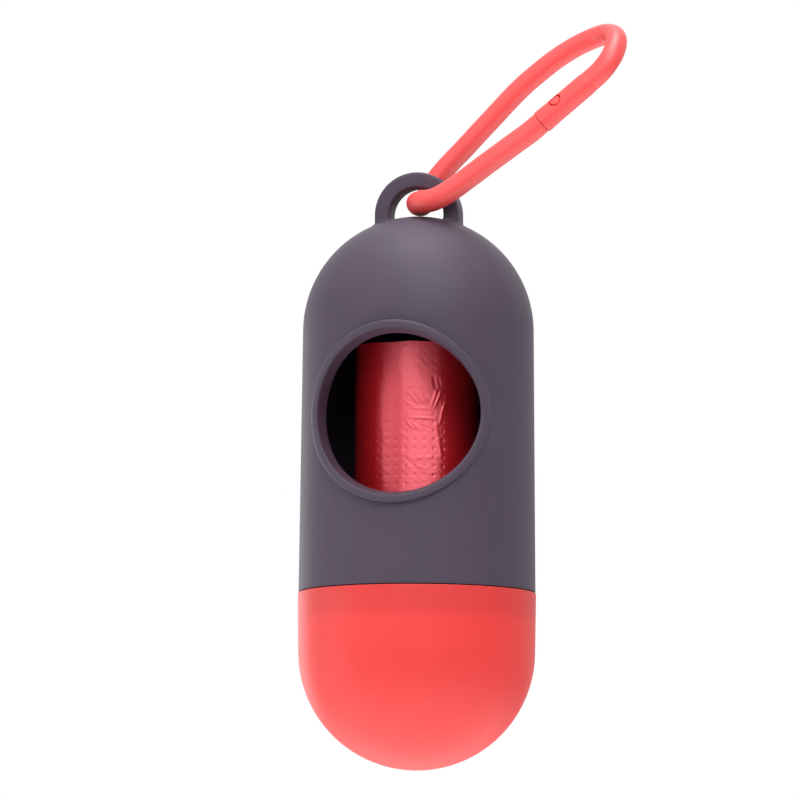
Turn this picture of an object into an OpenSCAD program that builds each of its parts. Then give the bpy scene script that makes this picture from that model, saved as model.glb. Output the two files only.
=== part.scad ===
// Capsule dispenser for a roll of dog waste bags.
// A moulded upper shell with a round window and a hanging lug, a screw-on bottom cap, a roll of
// bags on a paper core inside, and a round rubber strap that closes with a snap buckle.
// Z is the axis of the capsule, the window faces -Y, and the origin is the centre of the lug's eye.

/* [Upper shell] */
// Outer radius of the dome at the top
dome_r = 19.4; // [18:0.1:24]
// Straight length between the dome and the seam
shell_l = 44; // [40:1:60]
// How much wider the shell is at the seam than at the dome
shell_draft = 0.5; // [0.2:0.1:1]
// Wall of the dome and of the shell under it
shell_wall = 1.6; // [1.2:0.1:2]

/* [Bottom cap] */
// How far the cap's rim stands proud of the shell
cap_proud = 0.1; // [0:0.05:0.4]
// Straight length between the seam and the cap's dome
cap_l = 10; // [10:0.5:16]
// How much narrower the cap's dome is than its rim
cap_draft = 0.1; // [0:0.05:0.3]
// Wall of the cap at its rim
cap_wall = 1.6; // [1.3:0.1:2]
// Gap between the shell and the cap's rim
seam_gap = 0.15; // [0.1:0.05:0.4]

/* [Screw thread] */
// Length of the shell's neck inside the cap
neck_l = 8.8; // [7.5:0.1:9.5]
// Wall of the neck
neck_wall = 1.3; // [1:0.1:1.6]
// Height of the thread ridges
thread_h = 0.7; // [0.5:0.05:0.8]
// Width of a thread ridge at its root
thread_w = 1.8; // [1.4:0.1:1.9]
// Rise of the thread in one turn
thread_lead = 10; // [9.5:0.1:10.5]
// Number of thread ridges side by side
thread_starts = 3; // [2:1:3]
// Radial gap between a ridge and the wall that faces it
thread_clear = 0.2; // [0.15:0.05:0.3]

/* [Window] */
// Radius of the window's opening
window_r = 13.35; // [9:0.05:14]
// Drop of the window's centre below the foot of the dome
window_drop = 15.15; // [13:0.05:22]
// Width of the raised rim round the window
rim_w = 2; // [1.6:0.05:3]
// Height of the rim above the shell
rim_h = 1.05; // [0.6:0.05:1.5]
// How much the rim's inside widens from the opening to its crest
rim_flare = 0.6; // [0.2:0.05:0.8]
// Rounding of the two edges of the rim's crest
rim_edge = 0.35; // [0.2:0.05:0.6]
// Depth of the rim's lip behind the thickest part of the shell's wall
rim_lip = 0.4; // [0.2:0.05:0.6]

/* [Hanging lug] */
// Radius of the lug's eye
eye_r = 4.6; // [4.4:0.1:5.4]
// Width of the lug's arch, from the eye to its outside
lug_w = 2.6; // [1.8:0.1:3.4]
// Depth of the lug, front to back
lug_t = 4.6; // [3.4:0.1:5]
// Radius of the lug's rounded edges
lug_round = 0.45; // [0.3:0.05:0.8]
// Height of the eye's centre above the dome
eye_h = 0.2; // [0:0.1:0.8]

/* [Bag roll] */
// Outer radius of the roll
roll_r = 10.6; // [9:0.1:14]
// Length of the roll, which is the width of a folded bag
roll_l = 66.3; // [58:0.1:68]
// Thickness of the first bag, which lies loose round the others
bag_t = 0.3; // [0.2:0.05:0.6]
// Outer radius of the paper core
core_r = 5.2; // [4:0.1:7]
// Wall of the paper core
core_wall = 0.7; // [0.5:0.1:1.2]
// Running gap between the core and the bags wound on it
core_clear = 0.08; // [0.05:0.01:0.1]
// Gap between the foot of the roll and the bowl of the cap
roll_clear = 0.15; // [0.1:0.05:0.5]

/* [Strap] */
// Diameter of the round strap
strap_d = 3.7; // [3.3:0.1:3.8]
// Height of the strap's centre above the eye's centre, where it passes through
bight_h = 1.95; // [1.9:0.05:2.2]

/* [Buckle] */
// Tilt of the buckle above the horizontal
buckle_tilt = 39.5; // [37:0.5:42]
// Turn of the latch window towards the front
latch_turn = 48; // [0:1:60]
// Diameter of the socket
socket_d = 3.9; // [3.8:0.05:4.6]
// Extra diameter of the socket's lip at the seam
lip_flare = 0.15; // [0.05:0.05:0.4]
// Length of the lip
lip_l = 2.5; // [1.5:0.1:2.8]
// Length of the socket
socket_l = 10.8; // [10.2:0.1:11]
// Diameter of the plug's pin
pin_d = 2.3; // [2.1:0.05:2.5]
// Length of the plug's pin
pin_l = 8.4; // [7.5:0.1:9]
// Length of the plug's shoulder, between the strap and the seam
shoulder_l = 0.8; // [0.5:0.1:1.2]
// Radial gap between the pin and the socket's bore
pin_clear = 0.1; // [0.05:0.01:0.15]
// Gap between the plug's shoulder and the socket's lip
buckle_gap = 0.1; // [0.05:0.05:0.2]
// Distance from the seam to the centre of the latch button
button_x = 4.2; // [4.05:0.05:4.5]
// Diameter of the latch button
button_d = 2; // [1.6:0.1:2.1]
// Gap round the button in its window
button_clear = 0.2; // [0.1:0.05:0.25]
// Depth of the button's top below the socket's surface
button_recess = 0.3; // [0.2:0.05:0.4]
// Thickness of the latch arm
latch_t = 0.5; // [0.4:0.05:0.6]
// Width of the latch arm
latch_w = 1.3; // [1:0.1:1.4]
// Distance from the seam to the root of the latch arm
latch_root = 0.9; // [0.7:0.05:1.2]
// How far the button can be pressed, as a turn of the arm
latch_press = 11; // [10:1:13]

/* [Hidden] */
$fn = 96;

// heights of the casing, counted from the centre of the lug's eye
dome_z = -(eye_h + dome_r);
seam_z = dome_z - shell_l;
cap_dome_z = seam_z - cap_l;
window_z = dome_z - window_drop;

// radii of the casing
bore_r = dome_r - shell_wall;
mouth_r = dome_r + shell_draft;
cap_rim_r = mouth_r + cap_proud;
cap_dome_r = cap_rim_r - cap_draft;
cap_bore_r = cap_rim_r - cap_wall;
neck_r = cap_bore_r - thread_clear - thread_h;
neck_bore_r = neck_r - neck_wall;

// inside, the shell narrows to the neck in a cone, just above the seam
taper_l = bore_r - neck_bore_r;
taper_foot = 1.2;

// screw thread
thread_pitch = thread_lead / thread_starts;
thread_crest_w = 0.6 * thread_w;
thread_root = 0.3;
thread_steps = 30;
thread_tip = 0.2;

// the lowest ridge starts just above the neck's end, and the highest one stops short of the seam
thread_end_gap = 0.7;
thread_seam_gap = 0.4;
thread_foot = thread_end_gap + thread_w / 2;
thread_rise = neck_l - thread_foot - thread_pitch / 2 - thread_w / 2 - thread_seam_gap;
thread_turn = thread_rise / thread_lead;

// the roll stands on the round bowl inside the cap
roll_foot_z = cap_dome_z - sqrt(cap_bore_r * cap_bore_r - roll_r * roll_r) + roll_clear;
wound_r = roll_r - bag_t;
wound_bore_r = core_r + core_clear;
bag_wrap = 345;
bag_edge = 140;

// raised rim: the middle line of its section, and its steps round the window and round an edge
rim_mid_r = window_r + rim_w / 2;
rim_steps = 72;
rim_edge_steps = 4;
rim_bite = 0.15;
rim_root = 0.5;

// the place where the plug meets the socket, on the strap's front run
buckle_at = [22.1, -5, 14.9];
buckle_dir = [cos(buckle_tilt), 0, sin(buckle_tilt)];
plug_end = buckle_at - shoulder_l * buckle_dir;
socket_end = buckle_at + socket_l * buckle_dir;

// latch button and arm, in the buckle's own frame
button_top = socket_d / 2 - button_recess;
latch_z = sqrt(pow(pin_d / 2, 2) - pow(latch_w / 2, 2)) - latch_t / 2;
latch_end = button_x + button_d / 2;
latch_gap = 0.03;
latch_drop = (latch_end - latch_root) * sin(latch_press);
relief_z = latch_z - latch_t / 2 - latch_drop - 0.08;
bore_spare = 0.6;
socket_taper = 1.2;

// the strap's route from the plug, through the lug's eye and round to the socket
strap_route = [
    plug_end,
    plug_end - 1.5 * buckle_dir,
    [17.9, -5.1, 11.7],
    [15.4, -5.2, 9.9],
    [13.0, -5.3, 8.2],
    [10.7, -5.4, 6.5],
    [8.5, -5.5, 4.9],
    [6.6, -5.5, 3.6],
    [5.0, -5.4, 2.7],
    [3.6, -5.15, 2.15],
    [2.3, -4.65, 1.95],
    [1.25, -3.9, 1.9],
    [0.55, -2.8, 1.9],
    [0.15, -1.5, bight_h],
    [0, 0, bight_h],
    [0, 1.4, 2.0],
    [0.05, 2.6, 2.25],
    [0.2, 3.65, 2.85],
    [0.45, 4.45, 3.8],
    [0.9, 5.0, 4.95],
    [1.6, 5.3, 6.3],
    [2.7, 5.45, 7.8],
    [4.2, 5.5, 9.5],
    [6.2, 5.5, 11.5],
    [8.6, 5.4, 14.0],
    [11.2, 5.4, 16.7],
    [14.0, 5.3, 19.6],
    [16.9, 5.2, 22.4],
    [19.6, 5.1, 24.6],
    [22.0, 5.0, 26.4],
    [24.2, 4.9, 27.8],
    [26.1, 4.6, 28.8],
    [28.0, 4.2, 29.6],
    [29.9, 3.5, 30.2],
    [31.5, 2.5, 30.4],
    [32.9, 1.1, 30.1],
    [33.8, -0.5, 29.4],
    [34.2, -2.0, 28.4],
    [34.2, -3.2, 27.2],
    [33.9, -4.1, 26.0],
    [33.3, -4.7, 24.8],
    [32.5, -4.9, 23.7],
    socket_end + 1 * buckle_dir,
    socket_end,
];
strap_sides = 8;

function unit(v) = v / norm(v);

// Direction of the route at each of its points
function tangents(p) = [
    for (i = [0:len(p) - 1])
        unit(p[min(i + 1, len(p) - 1)] - p[max(i - 1, 0)])
];

// Side vectors square to each tangent, carried along the route without twist
function carried(t, i, side) =
    let (s = unit(side - (side * t[i]) * t[i]))
    i == len(t) - 1 ? [s] : concat([s], carried(t, i + 1, s));

// A closed solid through rings of points: a ring-shaped one if loop is true, else with flat ends
module skin(rings, loop = false) {
    m = len(rings[0]);
    n = len(rings);
    last = loop ? n - 1 : n - 2;
    sides = [
        for (i = [0:last], j = [0:m - 1])
            let (a = i * m + j, b = i * m + (j + 1) % m)
            let (c = ((i + 1) % n) * m + (j + 1) % m, d = ((i + 1) % n) * m + j)
            each [[a, b, c], [a, c, d]]
    ];
    ends = loop ? [] : [[for (j = [m - 1:-1:0]) j], [for (j = [0:m - 1]) (n - 1) * m + j]];
    polyhedron([for (ring = rings) each ring], concat(sides, ends), convexity = 6);
}

// One ridge of the thread. It stands out of a wall of radius r: outwards if way is 1, inwards if -1
module thread_ridge(r, way, foot_z, phase) {
    rings = [
        for (i = [0:thread_steps])
            let (share = i / thread_steps)
            let (full = min(1, thread_tip + 6 * min(share, 1 - share)))
            let (a = phase + 360 * thread_turn * share)
            let (z = foot_z + thread_rise * share)
            let (root = r - way * thread_root, crest = r + way * thread_h * full)
            let (section = [
                [root, -thread_w / 2],
                [root, thread_w / 2],
                [crest, thread_crest_w / 2],
                [crest, -thread_crest_w / 2],
            ])
            [
                for (k = [0:3])
                    let (p = section[way > 0 ? 3 - k : k])
                    [p[0] * cos(a), p[0] * sin(a), z + p[1]]
            ]
    ];
    skin(rings);
}

module thread(r, way, foot_z, phase) {
    for (k = [0:thread_starts - 1])
        thread_ridge(r, way, foot_z, phase + 360 * k / thread_starts);
}

// Quarter of a disc, the profile of a dome
module quarter(r) {
    intersection() {
        circle(r);
        square(r);
    }
}

// A square bar's section with round corners, its inner edge at x = from
module rounded_section(from, w, t, round_r) {
    for (x = [from + round_r, from + w - round_r], y = [round_r - t / 2, t / 2 - round_r])
        translate([x, y])
            circle(round_r);
    translate([from, round_r - t / 2])
        square([w, t - 2 * round_r]);
    translate([from + round_r, -t / 2])
        square([w - 2 * round_r, t]);
}

// Half ring on straight legs that run down into the dome
module lug() {
    leg_l = eye_h + dome_r - sqrt(bore_r * bore_r - pow(eye_r + lug_w, 2));
    rotate([90, 0, 0])
        rotate_extrude(angle = 180)
            rounded_section(eye_r, lug_w, lug_t, lug_round);
    for (side = [0, 1])
        mirror([side, 0, 0])
            translate([0, 0, -leg_l])
                linear_extrude(leg_l)
                    rounded_section(eye_r, lug_w, lug_t, lug_round);
}

// Outer radius of the shell at a height
function shell_r(z) = dome_r + shell_draft * (dome_z - z) / shell_l;

// Point of the rim's section: u out from its middle line, h above the shell, at an angle round it
function rim_point(u, h, a) =
    let (x = (rim_mid_r + u) * sin(a), z = window_z + (rim_mid_r + u) * cos(a))
    let (r = shell_r(z) + h)
    [x, -sqrt(r * r - x * x), z];

// Raised rim that follows the round wall about the window, with a lip that runs on inside
module window_rim() {
    half = rim_w / 2;
    foot = -(shell_wall + shell_draft + rim_lip);
    section = concat(
        [[half, -rim_root], [rim_bite, foot], [-half, foot]],
        [
            for (i = [0:rim_edge_steps])
                let (a = 180 - 90 * i / rim_edge_steps)
                [rim_flare - half + rim_edge * (1 + cos(a)), rim_h - rim_edge * (1 - sin(a))]
        ],
        [
            for (i = [0:rim_edge_steps])
                let (a = 90 - 90 * i / rim_edge_steps)
                [half - rim_edge * (1 - cos(a)), rim_h - rim_edge * (1 - sin(a))]
        ]
    );
    rings = [
        for (i = [0:rim_steps - 1])
            [for (s = section) rim_point(s[0], s[1], 360 * i / rim_steps)]
    ];
    skin(rings, loop = true);
}

module shell_outside() {
    translate([0, 0, dome_z])
        rotate_extrude()
            union() {
                quarter(dome_r);
                polygon([
                    [0, 0],
                    [dome_r, 0],
                    [mouth_r, -shell_l],
                    [neck_r, -shell_l],
                    [neck_r, -shell_l - neck_l],
                    [0, -shell_l - neck_l],
                ]);
            }
}

module shell_inside() {
    translate([0, 0, dome_z])
        rotate_extrude()
            union() {
                quarter(bore_r);
                polygon([
                    [0, 0],
                    [bore_r, 0],
                    [bore_r, taper_foot + taper_l - shell_l],
                    [neck_bore_r, taper_foot - shell_l],
                    [neck_bore_r, -shell_l - neck_l - 1],
                    [0, -shell_l - neck_l - 1],
                ]);
            }
}

module upper_shell() {
    color("#5a5260")
        union() {
            difference() {
                union() {
                    shell_outside();
                    lug();
                    thread(neck_r, 1, seam_z - neck_l + thread_foot, 0);
                }
                shell_inside();
                translate([0, 0, window_z])
                    rotate([90, 0, 0])
                        cylinder(h = 2 * dome_r, r = rim_mid_r);
            }
            window_rim();
        }
}

module bottom_cap() {
    color("#fb5a5a")
        union() {
            difference() {
                translate([0, 0, cap_dome_z])
                    rotate_extrude()
                        union() {
                            mirror([0, 1])
                                quarter(cap_dome_r);
                            polygon([
                                [0, 0],
                                [cap_dome_r, 0],
                                [cap_rim_r, cap_l - seam_gap],
                                [0, cap_l - seam_gap],
                            ]);
                        }
                translate([0, 0, cap_dome_z])
                    rotate_extrude()
                        union() {
                            mirror([0, 1])
                                quarter(cap_bore_r);
                            square([cap_bore_r, cap_l + 1]);
                        }
            }
            // the cap's ridges lie half a pitch above the neck's
            thread(cap_bore_r, -1, seam_z - neck_l + thread_foot + thread_pitch / 2, 0);
        }
}

module tube(outer_r, inner_r, h) {
    difference() {
        cylinder(h = h, r = outer_r);
        translate([0, 0, -1])
            cylinder(h = h + 2, r = inner_r);
    }
}

module roll_core() {
    color("#c9a77c")
        translate([0, 0, roll_foot_z])
            tube(core_r, core_r - core_wall, roll_l);
}

module bag_roll() {
    color("#c8202c")
        translate([0, 0, roll_foot_z])
            tube(wound_r, wound_bore_r, roll_l);
}

// The first bag: one open turn of film, with its free edge at an angle round from the front
module first_bag() {
    color("#d42a36")
        translate([0, 0, roll_foot_z])
            rotate([0, 0, bag_edge - 90])
                rotate_extrude(angle = bag_wrap)
                    translate([wound_r, 0])
                        square([bag_t, roll_l]);
}

module strap_cord() {
    t = tangents(strap_route);
    side = carried(t, 0, [0, 1, 0]);
    rings = [
        for (i = [0:len(strap_route) - 1])
            let (across = cross(t[i], side[i]))
            [
                for (k = [0:strap_sides - 1])
                    let (a = 360 * k / strap_sides)
                    strap_route[i] + strap_d / 2 * (cos(a) * side[i] - sin(a) * across)
            ]
    ];
    color("#f04848")
        skin(rings);
}

// Puts a piece that lies along X, with the latch on top, where the buckle is
module in_buckle() {
    translate(buckle_at)
        rotate([0, -buckle_tilt, 0])
            rotate([latch_turn, 0, 0])
                children();
}

// A round bar along X
module bar(from, to, d) {
    translate([from, 0, 0])
        rotate([0, 90, 0])
            cylinder(h = to - from, d = d);
}

module strap_plug() {
    color("#e84040")
        in_buckle()
            difference() {
                union() {
                    bar(-shoulder_l, 0, strap_d);
                    bar(-0.1, pin_l - pin_d / 2, pin_d);
                    translate([pin_l - pin_d / 2, 0, 0])
                        sphere(d = pin_d);
                }
                // room under the latch arm for its travel
                translate([latch_root, -pin_d, relief_z])
                    cube([latch_end + 2 * latch_gap - latch_root, 2 * pin_d, pin_d]);
                translate([latch_root, pin_d, latch_z])
                    rotate([90, 0, 0])
                        cylinder(h = 2 * pin_d, r = latch_t / 2 + latch_gap);
            }
}

module latch_arm() {
    color("#d83838")
        in_buckle()
            union() {
                translate([latch_root, latch_w / 2, latch_z])
                    rotate([90, 0, 0])
                        cylinder(h = latch_w, d = latch_t);
                translate([latch_root, -latch_w / 2, latch_z - latch_t / 2])
                    cube([latch_end - latch_root, latch_w, latch_t]);
                intersection() {
                    translate([button_x, 0, latch_z])
                        cylinder(h = button_top - latch_z, d = button_d);
                    bar(latch_root, latch_end, 2 * button_top);
                }
            }
}

module strap_socket() {
    color("#ee4646")
        in_buckle()
            difference() {
                union() {
                    translate([buckle_gap, 0, 0])
                        rotate([0, 90, 0])
                            cylinder(h = lip_l - buckle_gap, d1 = socket_d + lip_flare, d2 = socket_d);
                    bar(lip_l, socket_l - socket_taper, socket_d);
                    translate([socket_l - socket_taper, 0, 0])
                        rotate([0, 90, 0])
                            cylinder(h = socket_taper, d1 = socket_d, d2 = strap_d);
                }
                bar(-1, pin_l + bore_spare, pin_d + 2 * pin_clear);
                translate([button_x, 0, 0])
                    cylinder(h = socket_d, d = button_d + 2 * button_clear);
            }
}

upper_shell();
bottom_cap();
roll_core();
bag_roll();
first_bag();
strap_cord();
strap_plug();
strap_socket();
latch_arm();
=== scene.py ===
import bmesh
import bpy
import numpy as np
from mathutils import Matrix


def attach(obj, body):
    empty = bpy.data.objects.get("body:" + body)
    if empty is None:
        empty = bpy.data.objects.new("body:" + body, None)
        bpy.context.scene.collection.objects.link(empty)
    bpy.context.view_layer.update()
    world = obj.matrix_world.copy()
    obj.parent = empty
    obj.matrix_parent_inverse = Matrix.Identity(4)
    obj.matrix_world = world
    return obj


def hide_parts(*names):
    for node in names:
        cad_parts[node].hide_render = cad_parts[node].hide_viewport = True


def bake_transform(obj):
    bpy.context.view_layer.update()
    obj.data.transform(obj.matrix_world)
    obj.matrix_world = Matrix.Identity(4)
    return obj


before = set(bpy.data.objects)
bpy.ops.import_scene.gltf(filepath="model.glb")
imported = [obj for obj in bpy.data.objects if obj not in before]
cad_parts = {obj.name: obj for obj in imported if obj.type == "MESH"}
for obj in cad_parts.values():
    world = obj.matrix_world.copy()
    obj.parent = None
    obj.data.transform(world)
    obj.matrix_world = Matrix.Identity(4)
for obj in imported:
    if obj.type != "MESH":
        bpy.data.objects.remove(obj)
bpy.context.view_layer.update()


# ---- Camera
# It stands far off with a long lens, a little to the right of the window and a little below it,
# so that the sides of the capsule stay parallel.

azimuth, elevation, lean = np.radians([12.5, -5.3, 0.31])
camera_back = np.array(
    [
        np.sin(azimuth) * np.cos(elevation),
        -np.cos(azimuth) * np.cos(elevation),
        np.sin(elevation),
    ]
)
level_right = np.array([np.cos(azimuth), np.sin(azimuth), 0.0])
level_up = np.cross(camera_back, level_right)
camera_right = np.cos(lean) * level_right + np.sin(lean) * level_up
camera_up = np.cos(lean) * level_up - np.sin(lean) * level_right
camera_distance = 3.0
sensor_width = 36.0
frame_width = 800
middle = frame_width / 2
pixels_per_metre = 5943.0
eye_across, eye_down = 419.0, 215.9
aim = (middle - eye_across) / pixels_per_metre * camera_right
aim = aim + (eye_down - middle) / pixels_per_metre * camera_up

camera_data = bpy.data.cameras.new("camera")
camera_data.sensor_width = sensor_width
camera_data.lens = pixels_per_metre * camera_distance * sensor_width / frame_width
camera_data.clip_end = 50.0
camera = bpy.data.objects.new("camera", camera_data)
turned = np.eye(4)
turned[:3, 0] = camera_right
turned[:3, 1] = camera_up
turned[:3, 2] = camera_back
turned[:3, 3] = aim + camera_distance * camera_back
camera.matrix_world = turned.T.tolist()
bpy.context.scene.collection.objects.link(camera)
bpy.context.scene.camera = camera


# ---- Strap
# A soft round cord of coral rubber, moulded to a plug at one end and a socket at the other.
# It is threaded through the lug's eye, and its own stiffness keeps it standing in a long loop.

buckle_tilt = np.radians(39.5)
buckle_dir = np.array([np.cos(buckle_tilt), 0.0, np.sin(buckle_tilt)])
buckle_at = np.array([0.0221, -0.005, 0.0149])
bight = np.array([0.0, 0.0, 0.00195])
shoulder_l = 0.0008
socket_l = 0.0108
plug_end = buckle_at - shoulder_l * buckle_dir
socket_end = buckle_at + socket_l * buckle_dir
strap_steps = 220
strap_sides = 32
strap_colour = (0.82, 0.072, 0.070)
strap_deep = (0.78, 0.062, 0.060)
strap_route = np.array(
    [
        plug_end,
        plug_end - 0.0015 * buckle_dir,
        [0.0179, -0.0051, 0.0117],
        [0.0154, -0.0052, 0.0099],
        [0.013, -0.0053, 0.0082],
        [0.0107, -0.0054, 0.0065],
        [0.0085, -0.0055, 0.0049],
        [0.0066, -0.0055, 0.0036],
        [0.005, -0.0054, 0.0027],
        [0.0036, -0.00515, 0.00215],
        [0.0023, -0.00465, 0.00195],
        [0.00125, -0.0039, 0.0019],
        [0.00055, -0.0028, 0.0019],
        [0.00015, -0.0015, 0.00195],
        bight,
        [0.0, 0.0014, 0.002],
        [0.00005, 0.0026, 0.00225],
        [0.0002, 0.00365, 0.00285],
        [0.00045, 0.00445, 0.0038],
        [0.0009, 0.005, 0.00495],
        [0.0016, 0.0053, 0.0063],
        [0.0027, 0.00545, 0.0078],
        [0.0042, 0.0055, 0.0095],
        [0.0062, 0.0055, 0.0115],
        [0.0086, 0.0054, 0.014],
        [0.0112, 0.0054, 0.0167],
        [0.014, 0.0053, 0.0196],
        [0.0169, 0.0052, 0.0224],
        [0.0196, 0.0051, 0.0246],
        [0.022, 0.005, 0.0264],
        [0.0242, 0.0049, 0.0278],
        [0.0261, 0.0046, 0.0288],
        [0.028, 0.0042, 0.0296],
        [0.0299, 0.0035, 0.0302],
        [0.0315, 0.0025, 0.0304],
        [0.0329, 0.0011, 0.0301],
        [0.0338, -0.0005, 0.0294],
        [0.0342, -0.002, 0.0284],
        [0.0342, -0.0032, 0.0272],
        [0.0339, -0.0041, 0.026],
        [0.0333, -0.0047, 0.0248],
        [0.0325, -0.0049, 0.0237],
        socket_end + 0.001 * buckle_dir,
        socket_end,
    ]
)


def smooth_line(points, steps):
    """A natural cubic spline through the points, with chord length as its parameter, resampled
    at equal steps of arc length. Second derivatives come from the usual three-term equations."""
    fineness = 40
    chord = np.linalg.norm(np.diff(points, axis=0), axis=1)
    knots = np.concatenate([[0.0], np.cumsum(chord)])
    count = len(points)
    inner = np.arange(1, count - 1)
    system = np.eye(count)
    system[inner, inner - 1] = chord[:-1]
    system[inner, inner] = 2 * (chord[:-1] + chord[1:])
    system[inner, inner + 1] = chord[1:]
    slope = np.diff(points, axis=0) / chord[:, None]
    wanted = np.zeros_like(points)
    wanted[1:-1] = 6 * np.diff(slope, axis=0)
    bend = np.linalg.solve(system, wanted)

    def at(t):
        k = np.clip(np.searchsorted(knots, t, side="right") - 1, 0, count - 2)
        b = ((t - knots[k]) / chord[k])[:, None]
        a = 1 - b
        curve = (a**3 - a) * bend[k] + (b**3 - b) * bend[k + 1]
        return a * points[k] + b * points[k + 1] + curve * (chord[k] ** 2)[:, None] / 6

    fine = np.linspace(0, knots[-1], fineness * count)
    run = np.concatenate([[0.0], np.cumsum(np.linalg.norm(np.diff(at(fine), axis=0), axis=1))])
    return at(np.interp(np.linspace(0, run[-1], steps), run, fine)), run[-1]


def grid_faces(rows, columns, loop_rows=False):
    """Quads of a grid whose columns close into rings. They face outwards when the rings turn
    anticlockwise, seen from the side the rows run to."""
    last = rows if loop_rows else rows - 1
    i, j = np.meshgrid(np.arange(last), np.arange(columns), indexing="ij")
    i, j = i.ravel(), j.ravel()
    n, k = (i + 1) % rows, (j + 1) % columns
    return np.stack([i * columns + j, i * columns + k, n * columns + k, n * columns + j], axis=1)


def new_piece(name, points, faces, sharp_angle=35.0, flat=None):
    """A mesh object from an array of points and lists of faces, smooth but for edges over the
    sharp angle and for a slice of flat faces."""
    mesh = bpy.data.meshes.new(name)
    lists = [face for block in faces for face in np.asarray(block).tolist()]
    mesh.from_pydata(np.asarray(points).tolist(), [], lists)
    smooth = np.ones(len(mesh.polygons), bool)
    if flat is not None:
        smooth[flat] = False
    mesh.polygons.foreach_set("use_smooth", smooth)
    mesh.set_sharp_from_angle(angle=np.radians(sharp_angle))
    mesh.update()
    piece = bpy.data.objects.new(name, mesh)
    bpy.context.scene.collection.objects.link(piece)
    return piece


def round_cord(line, radius, sides):
    """A tube: at each point of the line a circle of that point's radius, square to the line's
    direction, its first side towards the part of a fixed vector that is square to it. Ends are
    closed by flat discs."""
    along = np.gradient(line, axis=0)
    along /= np.linalg.norm(along, axis=1)[:, None]
    fixed = np.array([-np.sin(buckle_tilt), 0.0, np.cos(buckle_tilt)])
    side = fixed - (along @ fixed)[:, None] * along
    side /= np.linalg.norm(side, axis=1)[:, None]
    across = np.cross(along, side)
    a = 2 * np.pi * np.arange(sides) / sides
    ring = np.cos(a)[None, :, None] * side[:, None] + np.sin(a)[None, :, None] * across[:, None]
    points = line[:, None] + radius[:, None, None] * ring
    rows = len(line)
    faces = [
        grid_faces(rows, sides),
        [np.arange(sides)[::-1]],
        [(rows - 1) * sides + np.arange(sides)],
    ]
    return points.reshape(-1, 3), faces


strap_line, strap_length = smooth_line(strap_route, strap_steps)
# The cord is a little thicker in its curl through the eye, and thinner along its upper strand.
strap_radius = np.interp(
    np.linspace(0, 1, strap_steps),
    [0, 0.2, 0.27, 0.31, 0.36, 0.45, 0.75, 0.9, 1],
    [0.00187, 0.00187, 0.00196, 0.00199, 0.00187, 0.00176, 0.00175, 0.00182, 0.00187],
)
strap = new_piece("strap", *round_cord(strap_line, strap_radius, strap_sides))


def fine_grain():
    """The fine spark-eroded grain of a moulding tool. Its height is half a noise of a tenth of a
    millimetre plus one of a third of a millimetre. Its cloud is a slow noise a centimetre wide,
    less its middle, times the cloud's input."""
    fine, coarse, cloud = (9000.0, 1.0), (2800.0, 2.0), (110.0, 2.0)
    fine_share = 0.5
    noise_middle = 0.5
    group = bpy.data.node_groups.new("fine_grain", "ShaderNodeTree")
    for name, value in (("Scale", 1.0), ("Cloud", 1.0)):
        socket = group.interface.new_socket(name, in_out="INPUT", socket_type="NodeSocketFloat")
        socket.default_value = value
    group.interface.new_socket("Height", in_out="OUTPUT", socket_type="NodeSocketFloat")
    group.interface.new_socket("Cloud", in_out="OUTPUT", socket_type="NodeSocketFloat")
    nodes, links = group.nodes, group.links
    entry = nodes.new("NodeGroupInput")
    out = nodes.new("NodeGroupOutput")
    place = nodes.new("ShaderNodeTexCoord")
    heights = []
    for scale, detail in (fine, coarse, cloud):
        size = nodes.new("ShaderNodeMath")
        size.operation = "MULTIPLY"
        size.inputs[1].default_value = scale
        links.new(entry.outputs["Scale"], size.inputs[0])
        noise = nodes.new("ShaderNodeTexNoise")
        noise.inputs["Detail"].default_value = detail
        links.new(place.outputs["Object"], noise.inputs["Vector"])
        links.new(size.outputs[0], noise.inputs["Scale"])
        heights.append(noise.outputs["Fac"])
    both = nodes.new("ShaderNodeMath")
    both.operation = "MULTIPLY_ADD"
    both.inputs[1].default_value = fine_share
    links.new(heights[0], both.inputs[0])
    links.new(heights[1], both.inputs[2])
    links.new(both.outputs[0], out.inputs["Height"])
    centred = nodes.new("ShaderNodeMath")
    centred.operation = "SUBTRACT"
    centred.inputs[1].default_value = noise_middle
    links.new(heights[2], centred.inputs[0])
    swing = nodes.new("ShaderNodeMath")
    swing.operation = "MULTIPLY"
    links.new(centred.outputs[0], swing.inputs[0])
    links.new(entry.outputs["Cloud"], swing.inputs[1])
    links.new(swing.outputs[0], out.inputs["Cloud"])
    return group


grain = fine_grain()


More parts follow.
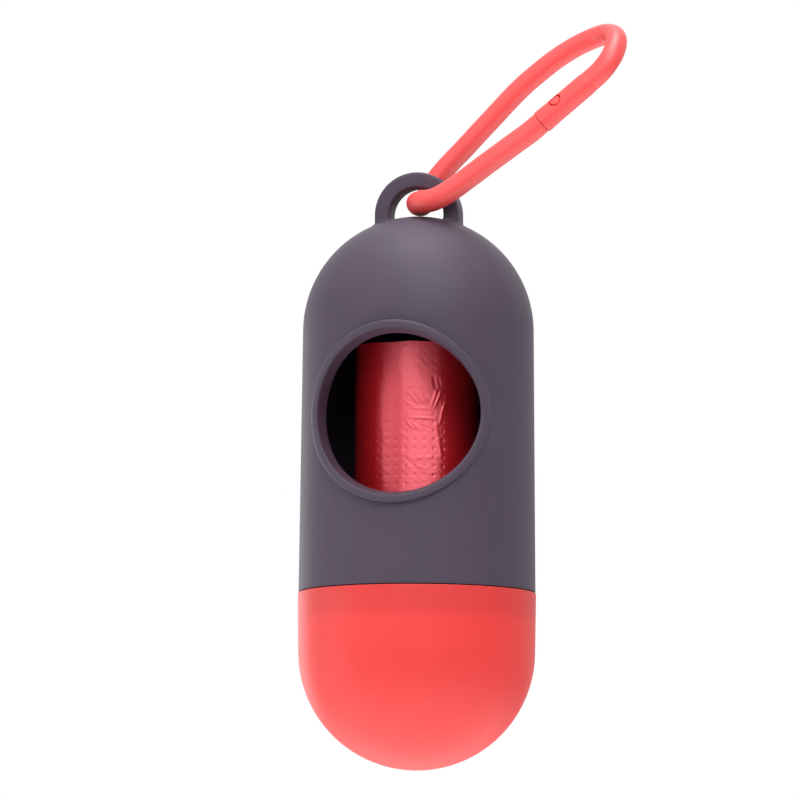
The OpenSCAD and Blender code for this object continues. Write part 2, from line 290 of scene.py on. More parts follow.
def moulded(name, colour, deep, roughness, bump, grain_scale, specular):
    """A moulded finish: the colour drifts to a deeper one as the cloud goes from minus to plus its
    swing, the roughness drifts about its mean with the grain's height, and the same height gives
    a bump of that strength."""
    cloud_swing = 0.3
    gloss_drift = 0.05
    grain_depth = 0.00003
    material = bpy.data.materials.new(name)
    material.use_nodes = True
    nodes, links = material.node_tree.nodes, material.node_tree.links
    shader = nodes["Principled BSDF"]
    shader.inputs["Specular IOR Level"].default_value = specular
    texture = nodes.new("ShaderNodeGroup")
    texture.node_tree = grain
    texture.inputs["Scale"].default_value = grain_scale
    tint = nodes.new("ShaderNodeMapRange")
    tint.inputs["From Min"].default_value = -cloud_swing
    tint.inputs["From Max"].default_value = cloud_swing
    links.new(texture.outputs["Cloud"], tint.inputs["Value"])
    mix = nodes.new("ShaderNodeMix")
    mix.data_type = "RGBA"
    mix.inputs["A"].default_value = (*colour, 1)
    mix.inputs["B"].default_value = (*deep, 1)
    links.new(tint.outputs["Result"], mix.inputs["Factor"])
    links.new(mix.outputs["Result"], shader.inputs["Base Color"])
    gloss = nodes.new("ShaderNodeMapRange")
    gloss.inputs["To Min"].default_value = roughness - gloss_drift
    gloss.inputs["To Max"].default_value = roughness + gloss_drift
    links.new(texture.outputs["Height"], gloss.inputs["Value"])
    links.new(gloss.outputs["Result"], shader.inputs["Roughness"])
    relief = nodes.new("ShaderNodeBump")
    relief.inputs["Strength"].default_value = bump
    relief.inputs["Distance"].default_value = grain_depth
    links.new(texture.outputs["Height"], relief.inputs["Height"])
    links.new(relief.outputs["Normal"], shader.inputs["Normal"])
    return material


strap_rubber = moulded(
    "strap_rubber",
    strap_colour,
    strap_deep,
    roughness=0.42,
    bump=0.25,
    grain_scale=1.3,
    specular=0.6,
)
strap.data.materials.append(strap_rubber)
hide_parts("strap_cord")


# ---- Buckle
# The plug has a pin with a sprung latch arm, and the socket is a sleeve with a round window that
# the latch's button clicks into. Both are moulded in the strap's colour, on its two ends.


def softened(node, name, edge):
    """The solid of a CAD node with its loose triangles joined, and with each edge sharper than
    the fold rounded by an arc of that width in two steps."""
    fold = np.radians(35)
    joined_within = 1e-6
    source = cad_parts[node]
    mesh = source.data.copy()
    mesh.name = name
    piece = bpy.data.objects.new(name, mesh)
    bpy.context.scene.collection.objects.link(piece)
    mesh.materials.clear()
    work = bmesh.new()
    work.from_mesh(mesh)
    bmesh.ops.remove_doubles(work, verts=work.verts, dist=joined_within)
    bmesh.ops.recalc_face_normals(work, faces=work.faces)
    work.to_mesh(mesh)
    work.free()
    mesh.polygons.foreach_set("use_smooth", np.ones(len(mesh.polygons), bool))
    mesh.set_sharp_from_angle(angle=fold)
    rounding = piece.modifiers.new("rounding", "BEVEL")
    rounding.width = edge
    rounding.segments = 2
    rounding.limit_method = "ANGLE"
    rounding.angle_limit = fold
    rounding.harden_normals = True
    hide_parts(node)
    return piece


buckle_plastic = moulded(
    "buckle_plastic",
    strap_colour,
    strap_deep,
    roughness=0.42,
    bump=0.2,
    grain_scale=1.3,
    specular=0.55,
)
plug = softened("strap_plug", "buckle_plug", 0.00012)
socket = softened("strap_socket", "buckle_socket", 0.00014)
latch = softened("latch_arm", "buckle_latch", 0.00005)

# The button narrows towards its top, which stands almost level with the socket's surface, so
# that its outline shows as a dark ring. Points of the arm higher than the button's foot move
# towards its axis by a share of their distance from it, and up along the axis.
latch_turn = np.radians(48)
button_x = 0.0042
button_foot = 0.0010
button_taper = 0.16
button_raise = 0.00022
above_buckle = np.array([-np.sin(buckle_tilt), 0.0, np.cos(buckle_tilt)])
button_axis = np.cos(latch_turn) * above_buckle - np.sin(latch_turn) * np.array([0.0, 1.0, 0.0])
button_mid = buckle_at + button_x * buckle_dir
latch_points = np.empty(len(latch.data.vertices) * 3)
latch.data.vertices.foreach_get("co", latch_points)
latch_points = latch_points.reshape(-1, 3)
height = (latch_points - button_mid) @ button_axis
sideways = latch_points - button_mid - height[:, None] * button_axis
top = height > button_foot
latch_points[top] += -button_taper * sideways[top] + button_raise * button_axis
latch.data.vertices.foreach_set("co", latch_points.ravel())
latch.data.update()
for piece, body in ((plug, "strap"), (socket, "socket"), (latch, "latch")):
    piece.data.materials.append(buckle_plastic)
    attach(piece, body)
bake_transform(strap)


# ---- Upper shell
# One moulding of dark grey plastic with a fine matte grain: a round dome, a wall that widens a
# little to the seam, a neck that goes into the cap, a window and the hanging lug.

dome_r = 0.0194
dome_z = -0.0196
mouth_r = 0.0199
seam_z = -0.0636
bore_r = 0.0178
neck_r = 0.0175
neck_bore_r = 0.0162
neck_l = 0.0088
window_z = -0.03475
rim_mid_r = 0.01435
thread_lead = 0.010
ridge_foot = 0.0016
around = 240


def arc(centre, radius, start, end, steps):
    """Points (r, z) of a circle's arc between two angles in degrees, from the r axis."""
    a = np.radians(np.linspace(start, end, steps))
    return np.stack([centre[0] + radius * np.cos(a), centre[1] + radius * np.sin(a)], axis=1)


def line(start, end, steps):
    """Points (r, z) in equal steps from start to end, without the end."""
    t = np.linspace(0, 1, steps, endpoint=False)[:, None]
    return (1 - t) * np.array(start) + t * np.array(end)


def wall_r(z):
    """Outer radius of the wall at a height. It grows evenly from the dome's to the mouth's."""
    return dome_r + (mouth_r - dome_r) * (dome_z - z) / (dome_z - seam_z)


def turned_surface(profile, angles):
    """A profile of (r, z) points turned about Z: column j of row i lies at angle j of that row,
    counted from the front towards the right, so x is r times its sine and y is minus r times its
    cosine."""
    r, z = profile[:, :1], profile[:, 1:]
    angles = np.broadcast_to(angles, (len(profile), angles.shape[-1]))
    return np.stack([r * np.sin(angles), -r * np.cos(angles), z + 0 * angles], axis=-1)


def fans(rows, columns, first, last):
    """Triangles from the first and last rows of a grid to their pole points."""
    j = np.arange(columns)
    k = (j + 1) % columns
    end = (rows - 1) * columns
    top = np.stack([np.full(columns, first), k, j], axis=1)
    low = np.stack([end + j, end + k, np.full(columns, last)], axis=1)
    return top, low


def window_shell():
    """The shell's skin as one turned profile, outside down and inside up. Cells within the
    middle line of the window's rim are left out on both walls, and the rows of faces that join
    the two walls there are hidden inside the rim. The inner wall's angles are spread near the
    window, so that each of its cells lies straight behind the outer one: there the sine of its
    angle is the outer one's times the outer radius over the inner. The spread then fades
    smoothly round to the back. By each rounded edge a further row keeps the shading flat."""
    dome_rows, wall_rows, ceiling_rows = 44, 78, 40
    mouth_round, neck_round = 0.00012, 0.0003
    taper_foot, taper_top = 0.0012, 0.0028
    near_row, far_row = 0.0004, 0.0006
    reach = np.radians(56)
    turn = 2 * np.pi * np.arange(around) / around
    levels = np.linspace(dome_z, seam_z + taper_top, wall_rows)
    out_wall = np.stack([wall_r(levels), levels], axis=1)
    in_wall = np.stack([np.full(wall_rows, bore_r), levels], axis=1)
    below = seam_z + taper_top - far_row
    tip_z = seam_z - neck_l
    profile = np.concatenate(
        [
            arc((0, dome_z), dome_r, 89.3, 1.8, dome_rows),
            out_wall,
            line((wall_r(below), below), (mouth_r, seam_z + near_row), 4),
            arc((mouth_r - mouth_round, seam_z + mouth_round), mouth_round, 0, -90, 6),
            line((mouth_r - far_row, seam_z), (neck_r, seam_z), 3),
            line((neck_r, seam_z), (neck_r, tip_z + near_row), 10),
            arc((neck_r - neck_round, tip_z + neck_round), neck_round, 0, -90, 6),
            arc((neck_bore_r + neck_round, tip_z + neck_round), neck_round, -90, -180, 6),
            line((neck_bore_r, tip_z + far_row), (neck_bore_r, seam_z + taper_foot), 8),
            line((neck_bore_r, seam_z + taper_foot), (bore_r, seam_z + taper_top), 4),
            in_wall[::-1],
            arc((0, dome_z), bore_r, 2.0, 89.2, ceiling_rows),
        ]
    )
    rows = len(profile)
    out_row = dome_rows
    in_row = rows - ceiling_rows - wall_rows
    signed = (turn + np.pi) % (2 * np.pi) - np.pi
    near = np.clip(signed, -reach, reach)
    spread = np.arcsin(np.clip(wall_r(window_z) / bore_r * np.sin(near), -1, 1)) - near
    fade = np.clip((np.pi - np.abs(signed)) / (np.pi - reach), 0, 1)
    spread = spread * np.where(np.abs(signed) > reach, fade * fade * (3 - 2 * fade), 1)
    inside = np.arange(rows) > in_row - 1
    angles = turn[None, :] + inside[:, None] * spread[None, :]
    points = turned_surface(profile, angles)

    quads = grid_faces(rows, around).reshape(rows - 1, around, 4)[:, :, ::-1]
    cell_turn = turn + np.pi / around
    cell_z = (levels[:-1] + levels[1:]) / 2
    cell_x = wall_r(cell_z)[:, None] * np.sin(cell_turn)[None, :]
    hole = np.hypot(cell_x, cell_z[:, None] - window_z) < rim_mid_r
    hole &= np.cos(cell_turn)[None, :] > 0
    keep = np.ones((rows - 1, around), bool)
    cell_rows = wall_rows - 1
    keep[out_row : out_row + cell_rows] &= ~hole
    keep[in_row : in_row + cell_rows] &= ~hole[::-1]

    def outside(k, j):
        """Index of the point k rows down the outer wall at angle j."""
        return (out_row + k) * around + j % around

    def inside_of(k, j):
        """Index of the inner wall's point straight behind it."""
        return (in_row + cell_rows - k) * around + j % around

    edges = (
        (hole & ~np.roll(hole, -1, axis=1), (0, 1), (1, 1)),
        (hole & ~np.roll(hole, 1, axis=1), (1, 0), (0, 0)),
        (hole[:-1] & ~hole[1:], (1, 1), (1, 0)),
        (hole[1:] & ~hole[:-1], (1, 0), (1, 1)),
    )
    walls = []
    for cells, (k1, j1), (k2, j2) in edges:
        k, j = np.nonzero(cells)
        first, second = (k + k1, j + j1), (k + k2, j + j2)
        corners = [inside_of(*first), inside_of(*second), outside(*second), outside(*first)]
        walls.append(np.stack(corners, axis=1))
    walls = np.concatenate(walls)

    poles = [[0, 0, dome_z + dome_r], [0, 0, dome_z + bore_r]]
    count = rows * around
    top, low = fans(rows, around, count, count + 1)
    points = np.concatenate([points.reshape(-1, 3), poles])
    return points, [quads[keep], top[:, ::-1], low[:, ::-1], walls], len(walls)


def rim_surface(section):
    """The raised rim: each section point (u out from the middle line, h above the wall) is carried
    round the window on a circle of the middle line's radius plus u, laid on the cylinder of the
    wall's radius plus h."""
    steps = 180
    a = 2 * np.pi * np.arange(steps)[:, None] / steps
    u, h = section[None, :, 0], section[None, :, 1]
    x = (rim_mid_r + u) * np.sin(a)
    z = window_z + (rim_mid_r + u) * np.cos(a)
    y = -np.sqrt((wall_r(z) + h) ** 2 - x**2)
    points = np.stack([x, y, z], axis=-1)
    return points.reshape(-1, 3), [grid_faces(steps, len(section), loop_rows=True)]


def rim_section():
    """A flat crest between two rounded edges, a straight flank that narrows inwards to the
    opening, and a small round on the edge of the lip behind the wall."""
    half, flare, height, lip, foot = 0.001, 0.0006, 0.00105, 0.00015, -0.0025
    outer, inner = 0.00042, 0.0006
    bite, root = 0.00015, -0.0005
    out, up = np.radians(np.linspace(0, 90, 9)), np.radians(np.linspace(90, 180, 9))
    turn = np.radians(np.linspace(180, 270, 7))
    return np.concatenate(
        [
            [[bite, foot], [half, root]],
            np.stack([half - outer + outer * np.cos(out), height - outer + outer * np.sin(out)], 1),
            np.stack(
                [flare - half + inner + inner * np.cos(up), height - inner + inner * np.sin(up)], 1
            ),
            np.stack([lip - half + lip * np.cos(turn), foot + lip + lip * np.sin(turn)], 1),
        ]
    )


def lug_surface():
    """A bar with a rounded section carried along its middle line: up a leg, over a half circle
    and down again. At a height h over the dome, less than the fillet's radius f, the section
    swells by f less the root of f squared less (f - h) squared, so that it runs out flat."""
    eye_r, width, depth, edge, fillet = 0.0046, 0.0026, 0.0046, 0.00045, 0.0004
    middle = eye_r + width / 2
    foot = -0.0022
    leg_rows, arch_rows = 30, 73
    leg = np.linspace(foot, 0, leg_rows, endpoint=False)
    a = np.radians(np.linspace(0, 180, arch_rows))
    arch = np.stack([np.cos(a), np.sin(a)], 1)
    base = np.concatenate(
        [
            np.stack([np.full(leg_rows, middle), leg], 1),
            middle * arch,
            np.stack([np.full(leg_rows, -middle), leg[::-1]], 1),
        ]
    )
    outward = np.concatenate(
        [np.tile([1.0, 0.0], (leg_rows, 1)), arch, np.tile([-1.0, 0.0], (leg_rows, 1))]
    )
    corner = np.radians(np.linspace(0, 90, 7))
    quarter = np.stack([np.cos(corner), np.sin(corner)], 1)
    signs = ((1, 1), (-1, 1), (-1, -1), (1, -1))
    section, normal = [], []
    for n, (sx, sy) in enumerate(signs):
        q = quarter if n % 2 == 0 else quarter[::-1]
        q = q * [sx, sy]
        centre = np.array([sx * (width / 2 - edge), sy * (depth / 2 - edge)])
        section.append(centre + edge * q)
        normal.append(q)
    section, normal = np.concatenate(section), np.concatenate(normal)

    def placed(swell):
        """The section at each point of the bar, its points moved out along their normals."""
        s = section[None] + swell[..., None] * normal[None]
        x = base[:, None, 0] + s[..., 0] * outward[:, None, 0]
        z = base[:, None, 1] + s[..., 0] * outward[:, None, 1]
        return np.stack([x, s[..., 1], z], axis=-1)

    points = placed(np.zeros((len(base), len(section))))
    above = np.linalg.norm(points - [0, 0, dome_z], axis=-1) - dome_r
    lift = np.clip(above, 0, fillet)
    swell = fillet - np.sqrt(fillet**2 - (fillet - lift) ** 2)
    swell = np.where(above > fillet, 0, swell)
    points = placed(swell)
    rows, columns = points.shape[:2]
    faces = [
        grid_faces(rows, columns)[:, ::-1],
        [np.arange(columns)],
        [((rows - 1) * columns + np.arange(columns))[::-1]],
    ]
    return points.reshape(-1, 3), faces


def thread_ridges(r, way, foot_z):
    """Three ridges of a right-hand thread: a low trapezium with a rounded crest carried along a
    helix out of a wall of radius r (way 1) or into its bore (way -1). The angle grows by a full
    turn for each lead of height. At its tips the crest grows from a share of its height."""
    starts, rise, root_w, height, steps = 3, 0.0042333, 0.0018, 0.0007, 46
    tip_share, run_in = 0.2, 6
    share = np.linspace(0, 1, steps)[:, None]
    full = np.minimum(1, tip_share + run_in * np.minimum(share, 1 - share))
    across = np.array([-0.5, -0.42, -0.33, -0.24, 0.24, 0.33, 0.42, 0.5])[None] * root_w
    up = np.array([-0.43, 0.2, 0.82, 1.0, 1.0, 0.82, 0.2, -0.43])[None] * height
    radius = r + way * np.where(up > 0, up * full, up)
    sides = across.shape[1]
    points, faces = [], []
    for start in range(starts):
        a = 2 * np.pi * (rise / thread_lead * share + start / starts)
        ring = np.stack(
            [radius * np.cos(a), radius * np.sin(a), foot_z + rise * share + across], axis=-1
        )
        at = start * steps * sides
        end = np.arange(sides) + at
        points.append(ring.reshape(-1, 3))
        faces += [
            grid_faces(steps, sides)[:, ::-way] + at,
            [end[::way]],
            [(end + (steps - 1) * sides)[::-way]],
        ]
    return np.concatenate(points), faces


def joined(*parts):
    """Several closed surfaces as one list of points and one of faces."""
    points, faces, at = [], [], 0
    for some_points, some_faces in parts:
        points.append(some_points)
        faces += [np.asarray(block) + at for block in some_faces]
        at += len(some_points)
    return np.concatenate(points), faces


skin_points, skin_faces, hidden = window_shell()
shell_parts = joined(
    (skin_points, skin_faces),
    rim_surface(rim_section()),
    lug_surface(),
    thread_ridges(neck_r, 1, seam_z - neck_l + ridge_foot),
)
before = sum(len(block) for block in skin_faces[:-1])
shell = new_piece("shell", *shell_parts, sharp_angle=40, flat=slice(before, before + hidden))
shell_plastic = moulded(
    "shell_plastic",
    (0.060, 0.0435, 0.067),
    (0.054, 0.039, 0.060),
    roughness=0.56,
    bump=0.35,
    grain_scale=1.0,
    specular=0.29,
)
shell.data.materials.append(shell_plastic)
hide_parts("upper_shell")
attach(shell, "shell")


# ---- Bottom cap
# One moulding of coral red plastic, smooth and satin: a rim, a short straight wall and a round
# bottom. Three thread ridges inside turn on the ridges of the shell's neck.

cap_rim_r = 0.0200
cap_dome_r = 0.0199
cap_dome_z = -0.0736
cap_bore_r = 0.0184
seam_gap = 0.00015
cap_top = seam_z - seam_gap


def cap_surface():
    """The cap's skin as one turned profile: up the outside from the bottom, over the rounded rim
    and down the inside."""
    outer, inner = 0.00014, 0.0004
    near_row = 0.0005
    turn = 2 * np.pi * np.arange(around) / around
    profile = np.concatenate(
        [
            arc((0, cap_dome_z), cap_dome_r, -89.3, -1.8, 48),
            line((cap_dome_r, cap_dome_z), (cap_rim_r, cap_top - inner), 20),
            arc((cap_rim_r - outer, cap_top - outer), outer, 0, 90, 7),
            arc((cap_bore_r + inner, cap_top - inner), inner, 90, 180, 7),
            line((cap_bore_r, cap_top - inner - near_row), (cap_bore_r, cap_dome_z), 16),
            arc((0, cap_dome_z), cap_bore_r, 0, -89.2, 42),
        ]
    )
    rows = len(profile)
    points = turned_surface(profile, turn)
    count = rows * around
    top, low = fans(rows, around, count, count + 1)
    poles = [[0, 0, cap_dome_z - cap_dome_r], [0, 0, cap_dome_z - cap_bore_r]]
    return np.concatenate([points.reshape(-1, 3), poles]), [grid_faces(rows, around), top, low]


# The cap's ridges lie half a pitch, which is a sixth of the lead, over the neck's.
cap_ridge_z = seam_z - neck_l + ridge_foot + thread_lead / 6
cap = new_piece(
    "cap",
    *joined(cap_surface(), thread_ridges(cap_bore_r, -1, cap_ridge_z)),
    sharp_angle=40,
)
cap_plastic = moulded(
    "cap_plastic",
    (0.74, 0.047, 0.043),
    (0.71, 0.042, 0.038),
    roughness=0.48,
    bump=0.18,
    grain_scale=1.0,
    specular=0.35,
)
# Painted shade: near the rim, where the shell's dark neck stands behind the thinner wall, the base
# colour is darkened.
# Between two heights the colour goes smoothly over to its product with a grey.
shade_from, shade_full = -0.0699, -0.0669
painted_shade_grey = (0.86, 0.86, 0.88, 1)
nodes, links = cap_plastic.node_tree.nodes, cap_plastic.node_tree.links
place = nodes.new("ShaderNodeTexCoord")
height_of = nodes.new("ShaderNodeSeparateXYZ")
links.new(place.outputs["Object"], height_of.inputs[0])
painted_shade_band = nodes.new("ShaderNodeMapRange")
painted_shade_band.interpolation_type = "SMOOTHSTEP"
painted_shade_band.inputs["From Min"].default_value = shade_from
painted_shade_band.inputs["From Max"].default_value = shade_full
links.new(height_of.outputs["Z"], painted_shade_band.inputs["Value"])
# Painted shade: the cap's colour multiplied by the grey across the band.
paint_shade = nodes.new("ShaderNodeMix")
paint_shade.data_type = "RGBA"
paint_shade.blend_type = "MULTIPLY"
paint_shade.inputs["B"].default_value = painted_shade_grey
links.new(painted_shade_band.outputs["Result"], paint_shade.inputs["Factor"])
links.new(nodes["Mix"].outputs["Result"], paint_shade.inputs["A"])
links.new(paint_shade.outputs["Result"], nodes["Principled BSDF"].inputs["Base Color"])
cap.data.materials.append(cap_plastic)
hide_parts("bottom_cap")
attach(cap, "cap")


# ---- Bag roll
# Fifteen or so thin red bags in one perforated strip, folded in four and wound on a tube of brown
# paper board. Their folded edges make fine rings on the ends.

roll_foot = -0.08849
roll_l = 0.0663
roll_top = roll_foot + roll_l
core_r = 0.0052
core_bore = 0.0045
wound_r = 0.0103
wound_bore = 0.00528


def ringed_tube(inner, outer, rings, wave):
    """A tube turned about Z. Each end face is drawn in by a wave's height times a squared sine of
    the radius, like the edges of wound layers. The same rings are added once more, times a share
    and times one plus two slow sines of the angle, so that they wander."""
    sides, side_rows = 120, 24
    wander_share = 0.6
    r = np.linspace(inner, outer, rings * 4 + 1)
    ripple = wave * np.sin(2 * np.pi * rings * (r - inner) / (outer - inner)) ** 2
    profile = np.concatenate(
        [
            np.stack([r, roll_foot + ripple], 1),
            line((outer, roll_foot), (outer, roll_top), side_rows)[1:],
            np.stack([r, roll_top - ripple], 1)[::-1],
            line((inner, roll_top), (inner, roll_foot), side_rows)[1:],
        ]
    )
    turn = 2 * np.pi * np.arange(sides) / sides
    points = turned_surface(profile, turn)
    wander = 1 + 0.5 * np.sin(3 * turn + 1) + 0.3 * np.sin(7 * turn)
    still = np.zeros(side_rows - 1)
    ends = np.concatenate([ripple, still, -ripple[::-1], still])
    points[..., 2] += ends[:, None] * wander_share * wander[None, :]
    return points.reshape(-1, 3), [grid_faces(len(profile), sides, loop_rows=True)]


core = new_piece("paper_core", *ringed_tube(core_bore, core_r, rings=3, wave=0.00006))
wound = new_piece("wound_bags", *ringed_tube(wound_bore, wound_r, rings=14, wave=0.00022))


def paper_board():
    """Brown paper board: pale and dark fibres from one noise, drawn out up the tube to four times
    their width. It sets both the colour and a bump."""
    material = bpy.data.materials.new("paper_board")
    material.use_nodes = True
    nodes, links = material.node_tree.nodes, material.node_tree.links
    shader = nodes["Principled BSDF"]
    place = nodes.new("ShaderNodeTexCoord")
    stretch = nodes.new("ShaderNodeMapping")
    stretch.inputs["Scale"].default_value = (1.0, 1.0, 0.25)
    links.new(place.outputs["Object"], stretch.inputs["Vector"])
    fibre = nodes.new("ShaderNodeTexNoise")
    fibre.inputs["Scale"].default_value = 4200.0
    fibre.inputs["Detail"].default_value = 4.0
    links.new(stretch.outputs[0], fibre.inputs["Vector"])
    tone = nodes.new("ShaderNodeValToRGB")
    tone.color_ramp.elements[0].position = 0.35
    tone.color_ramp.elements[0].color = (0.30, 0.19, 0.10, 1)
    tone.color_ramp.elements[1].position = 0.7
    tone.color_ramp.elements[1].color = (0.52, 0.37, 0.22, 1)
    links.new(fibre.outputs["Fac"], tone.inputs["Fac"])
    links.new(tone.outputs["Color"], shader.inputs["Base Color"])
    shader.inputs["Roughness"].default_value = 0.9
    relief = nodes.new("ShaderNodeBump")
    relief.inputs["Strength"].default_value = 0.5
    relief.inputs["Distance"].default_value = 0.00005
    links.new(fibre.outputs["Fac"], relief.inputs["Height"])
    links.new(relief.outputs["Normal"], shader.inputs["Normal"])
    return material


core.data.materials.append(paper_board())
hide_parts("roll_core")
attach(core, "core")


# ---- First bag
# The outermost bag of the strip, loose round the roll, with a free edge that stands off a little.
# The film is pressed with a grid of small dimples. Where a thumb held it there are fine creases.

film_r = 0.0104
film_bore = 0.01031
film_t = 0.00009
free_edge = np.radians(128)
lap = np.radians(14)
thumb_mid = np.radians(16.5)
thumb_half = np.radians(22)
thumb_depth = 0.00014
dimple_across = 0.00161
dimple_up = 0.00148
dimple_r = 0.00023
# Each crease: across and up of its two ends, across from the middle of the front and up from the
# eye, then the ridge's height and half width, all in millimetres.
creases = np.array(
    [
        [0.7, -30.7, 2.4, -32.9, 0.104, 0.17],
        [1.7, -30.9, 3.6, -33.0, 0.104, 0.17],
        [2.7, -31.2, 4.1, -32.7, 0.091, 0.17],
        [1.5, -30.4, 2.9, -31.2, 0.052, 0.2125],
        [0.3, -32.6, 2.1, -33.0, 0.065, 0.17],
        [0.3, -33.4, 4.4, -33.5, 0.065, 0.187],
        [0.4, -34.9, 5.4, -35.2, 0.13, 0.187],
        [0.2, -34.4, 4.7, -34.4, 0.039, 0.2125],
        [0.0, -35.4, 1.7, -37.0, 0.104, 0.187],
        [1.1, -35.7, 2.5, -37.0, 0.091, 0.17],
        [2.6, -35.7, 3.6, -36.7, 0.065, 0.17],
        [5.4, -30.3, 4.5, -33.1, 0.117, 0.204],
        [6.2, -30.5, 5.0, -33.4, 0.13, 0.204],
        [7.0, -32.0, 6.2, -34.5, 0.117, 0.204],
        [6.7, -33.7, 5.8, -36.2, 0.078, 0.221],
        [4.8, -28.0, 5.4, -30.3, -0.104, 0.2975],
        [5.6, -28.2, 6.2, -30.3, -0.065, 0.255],
        [5.3, -35.4, 5.6, -37.9, 0.065, 0.2975],
        [5.6, -37.9, 6.4, -42.1, 0.065, 0.34],
        [0.7, -41.8, 6.4, -41.6, 0.065, 0.255],
        [0.3, -43.3, 6.0, -43.2, 0.039, 0.255],
        [-1.0, -29.8, 3.8, -29.7, 0.039, 0.255],
        [-1.7, -28.2, 2.6, -28.2, 0.026, 0.255],
        [-0.4, -23.2, 0.7, -23.0, 0.052, 0.255],
    ]
)
# The film between them is crumpled: short faint creases, raised or sunk, most slanting one way.
chance = np.random.default_rng(7)
faint = 90
starts = chance.uniform((-4.5, -48.0), (7.5, -23.5), (faint, 2))
slant = np.radians(chance.normal(-22, 28, faint))
lengths = chance.uniform(0.8, 2.6, faint)
crumple = np.concatenate(
    [
        starts,
        starts + lengths[:, None] * np.stack([np.cos(slant), np.sin(slant)], 1),
        chance.uniform(0.0156, 0.039, (faint, 1)) * chance.choice([-1, 1], (faint, 1)),
        chance.uniform(0.1105, 0.187, (faint, 1)),
    ],
    axis=1,
)
millimetre = 0.001
creases = millimetre * np.concatenate([creases, crumple])


def pressed_film(s, z):
    """How far the film stands off its round at s across and z up. Each crease adds a ridge: its
    height times the bell exp(-(distance / half width) squared), tapered to both ends by half a
    sine of the way along it. Each crossing of the dimples' grid takes off a bell of the dimple's
    radius, and two slow waves are added."""
    taper_from, taper_run = 0.12, 0.8
    grid_across, grid_up = 0.00015, -0.0402
    wave = 0.00003
    height = np.zeros(s.shape)
    for s0, z0, s1, z1, high, wide in creases:
        run_s, run_z = s1 - s0, z1 - z0
        t = ((s - s0) * run_s + (z - z0) * run_z) / (run_s**2 + run_z**2)
        held = np.clip(t, 0, 1)
        away = np.hypot(s - s0 - held * run_s, z - z0 - held * run_z)
        taper = np.sin(np.pi * np.clip(taper_from + taper_run * t, 0, 1))
        height += high * np.exp(-((away / wide) ** 2)) * taper
    across = ((s - grid_across) / dimple_across + 0.5) % 1 - 0.5
    up = ((z - grid_up) / dimple_up + 0.5) % 1 - 0.5
    away = np.hypot(across * dimple_across, up * dimple_up)
    depth = np.interp(z, [-0.0521, -0.052, -0.039, -0.034], [0, 0.00008, 0.00008, 0.00004])
    height -= depth * np.exp(-((away / dimple_r) ** 2))
    return height + wave * np.sin(260 * s + 170 * z) + wave * np.sin(90 * s - 420 * z + 2)


def film_surface():
    """One closed outline seen from above, carried up the roll: from the free edge once round and
    on under its own lap, then back along the underside of the lap. Its radius falls evenly to the
    film's as it goes round, and curls out at the free edge by the square of the way to it. A
    flat as wide as a thumb on the front takes off a depth times (1 - x squared) squared, where x
    goes from -1 to 1 across it. The inside is a plain round, whose points are gathered evenly
    near the lap."""
    slack, curl, least_gap = 0.00022, 0.0003, 0.00003
    full_turn = 2 * np.pi
    close_from, close_to = np.radians([-9, 45]) - free_edge + full_turn
    before_close, close, after_close, back = 142, 90, 99, 12
    once = before_close + close + after_close
    x = np.concatenate(
        [
            np.linspace(0, close_from, before_close, endpoint=False),
            np.linspace(close_from, close_to, close, endpoint=False),
            np.linspace(close_to, full_turn + lap, after_close),
            np.linspace(full_turn + lap, full_turn, back + 1)[1:],
        ]
    )
    returning = np.arange(len(x)) >= once
    under = (x > full_turn) & ~returning
    turn = free_edge + x
    lap_at = np.where(returning, x - full_turn, x)
    lift = slack * (1 - np.clip(lap_at / full_turn, 0, 1))
    lift = lift + curl * np.clip(1 - lap_at / lap, 0, 1) ** 2
    lift = np.where(under, 0.0, lift)
    lift[returning] = np.maximum(lift[returning] - film_t, least_gap)
    front = (turn + np.pi) % full_turn - np.pi
    off = np.abs(front - thumb_mid) / thumb_half
    chord = -thumb_depth * np.where(off < 1, (1 - off**2) ** 2, 0)

    # The rows lie close where the film shows in the window, and wide below it.
    close_z, wide_rows, close_rows = -0.0518, 30, 200
    z = np.concatenate(
        [
            np.linspace(roll_foot + 0.0001, close_z, wide_rows, endpoint=False),
            np.linspace(close_z, roll_top, close_rows),
        ]
    )
    pressed = np.interp(z, [-0.0400, -0.0300], [1.0, 0.6])[:, None]
    radius = film_r + lift[None] + chord[None] * pressed
    s, level = np.broadcast_arrays((front * film_r)[None], z[:, None])
    radius = radius + pressed_film(s, level) * ~(under | returning)[None]
    droop = 0.00008 * np.sin(5 * turn) + 0.00005 * np.sin(11 * turn + 1)
    droop_l = 0.002
    end = np.clip((level - roll_top + droop_l) / droop_l, 0, 1) ** 2
    outer = np.stack(
        [radius * np.sin(turn), -radius * np.cos(turn), level + droop[None] * end], axis=-1
    )

    even_to = np.radians(320)
    crowd = np.flatnonzero((x > even_to) | returning)
    inside_x = x.copy()
    inside_x[crowd] = np.linspace(even_to, full_turn, len(crowd) + 1, endpoint=False)[1:]
    bore_rows = 8
    depth = np.linspace(roll_top - 0.0001, roll_foot + 0.0002, bore_rows)
    bore = np.stack([np.full(bore_rows, film_bore), depth], axis=1)
    inner = turned_surface(bore, free_edge + inside_x)
    rows = np.concatenate([outer, inner])
    return rows.reshape(-1, 3), [grid_faces(len(rows), len(x), loop_rows=True)]


film = new_piece("loose_bag", *film_surface(), sharp_angle=60)
film_red = moulded(
    "film_red",
    (0.74, 0.017, 0.026),
    (0.68, 0.013, 0.021),
    roughness=0.40,
    bump=0.3,
    grain_scale=0.6,
    specular=1.0,
)
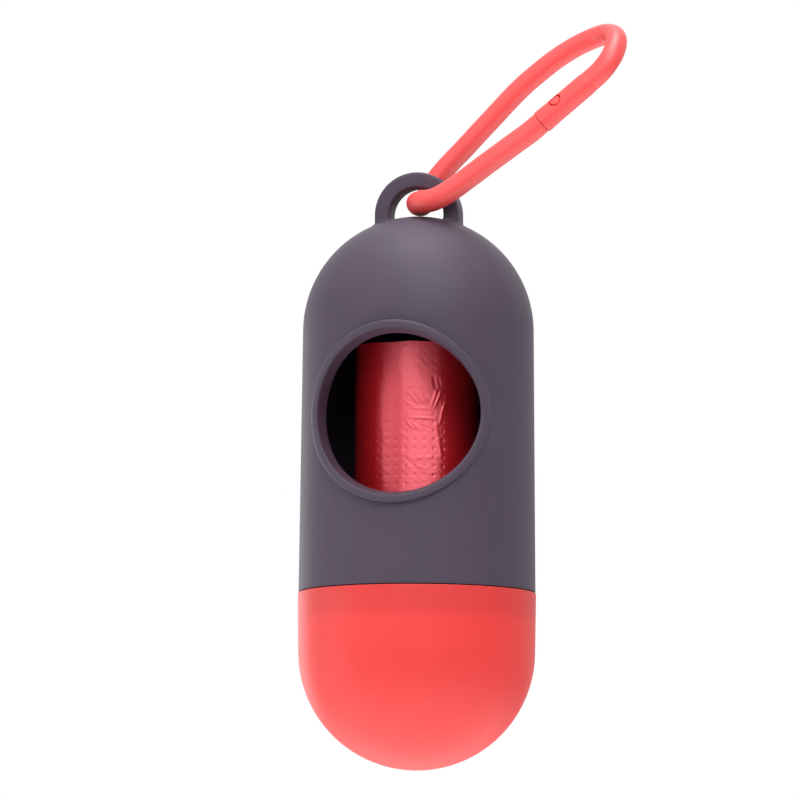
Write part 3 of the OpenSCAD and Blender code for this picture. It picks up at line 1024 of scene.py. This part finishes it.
# A strong, slightly pink gloss that the film's fine up and down grain stretches along the roll.
film_shader = film_red.node_tree.nodes["Principled BSDF"]
film_shader.inputs["Metallic"].default_value = 0.38
film_shader.inputs["IOR"].default_value = 1.85
film_shader.inputs["Anisotropic"].default_value = 0.8
film_shader.inputs["Specular Tint"].default_value = (0.95, 0.85, 1.0, 1)
film_shader.inputs["Anisotropic Rotation"].default_value = 0.25
wound.data.materials.append(film_red)
film.data.materials.append(film_red)
for piece, node in ((wound, "bag_roll"), (film, "first_bag")):
    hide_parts(node)
    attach(piece, "film")


# ---- Floor and light
# A pale floor below the hanging object and an even white surround. One main soft lamp stands
# high in front on the right, weaker ones fill in from the front and from the left, one hangs
# above, one stands behind, and a very wide one just over the floor lights the cap from below.

floor_z = -0.40
floor_half = 3.0
floor_corners = [
    (across * floor_half, back * floor_half, floor_z)
    for across, back in ((-1, -1), (1, -1), (1, 1), (-1, 1))
]
floor_mesh = bpy.data.meshes.new("floor")
floor_mesh.from_pydata(floor_corners, [], [(0, 1, 2, 3)])
floor = bpy.data.objects.new("floor", floor_mesh)
bpy.context.scene.collection.objects.link(floor)
floor_paint = bpy.data.materials.new("floor_paint")
floor_paint.use_nodes = True
floor_shader = floor_paint.node_tree.nodes["Principled BSDF"]
floor_shader.inputs["Base Color"].default_value = (0.9, 0.9, 0.9, 1)
floor_shader.inputs["Roughness"].default_value = 0.8
floor_mesh.materials.append(floor_paint)

world = bpy.data.worlds.new("surround")
bpy.context.scene.world = world
world.use_nodes = True
sky = world.node_tree
sky.nodes.clear()
path = sky.nodes.new("ShaderNodeLightPath")
seen = sky.nodes.new("ShaderNodeMath")
seen.operation = "MAXIMUM"
sky.links.new(path.outputs["Is Camera Ray"], seen.inputs[0])
clear = sky.nodes.new("ShaderNodeMath")
clear.operation = "MAXIMUM"
sky.links.new(path.outputs["Is Glossy Ray"], clear.inputs[0])
sky.links.new(path.outputs["Is Transmission Ray"], clear.inputs[1])
sky.links.new(clear.outputs[0], seen.inputs[1])
level = sky.nodes.new("ShaderNodeMapRange")
level.inputs["To Min"].default_value = 0.2
level.inputs["To Max"].default_value = 1.0
sky.links.new(seen.outputs[0], level.inputs["Value"])
white = sky.nodes.new("ShaderNodeBackground")
white.inputs["Color"].default_value = (1, 1, 1, 1)
sky.links.new(level.outputs["Result"], white.inputs["Strength"])
sky_out = sky.nodes.new("ShaderNodeOutputWorld")
sky.links.new(white.outputs[0], sky_out.inputs["Surface"])


def soft_lamp(name, at, size, power, towards=(0.0, 0.0, -0.04)):
    """A square area lamp at a point. Its own Z is the way from the point that it faces to it, its
    X is level, and its Y is square to both."""
    data = bpy.data.lights.new(name, "AREA")
    data.size = size
    data.energy = power
    lamp = bpy.data.objects.new(name, data)
    facing = np.array(at, float) - np.array(towards, float)
    facing /= np.linalg.norm(facing)
    side = np.cross([0, 0, 1.0], facing)
    side /= np.linalg.norm(side)
    above = np.cross(facing, side)
    matrix = np.eye(4)
    matrix[:3, 0], matrix[:3, 1], matrix[:3, 2], matrix[:3, 3] = side, above, facing, at
    lamp.matrix_world = matrix.T.tolist()
    bpy.context.scene.collection.objects.link(lamp)


soft_lamp("high_lamp", (0.28, -0.52, 0.5), size=0.5, power=4.75)
soft_lamp("fill_lamp", (-0.03, -0.76, 0.19), size=0.34, power=0.9)
soft_lamp("left_front_lamp", (-0.53, -0.45, 0.36), size=0.4, power=0.9)
soft_lamp("left_lamp", (-0.42, -0.12, -0.13), size=0.25, power=0.6)
soft_lamp("far_left_lamp", (-0.33, 0.29, -0.08), size=0.2, power=0.38)
soft_lamp("top_lamp", (0.0, -0.03, 0.76), size=0.4, power=5.6)
soft_lamp("back_lamp", (0.0, 0.66, 0.42), size=0.8, power=0.9)
soft_lamp("low_lamp", (0.0, 0.2, -0.39), size=1.1, power=4.2, towards=(0.0, 0.199, 0.0))

bpy.context.scene.view_settings.view_transform = "Standard"
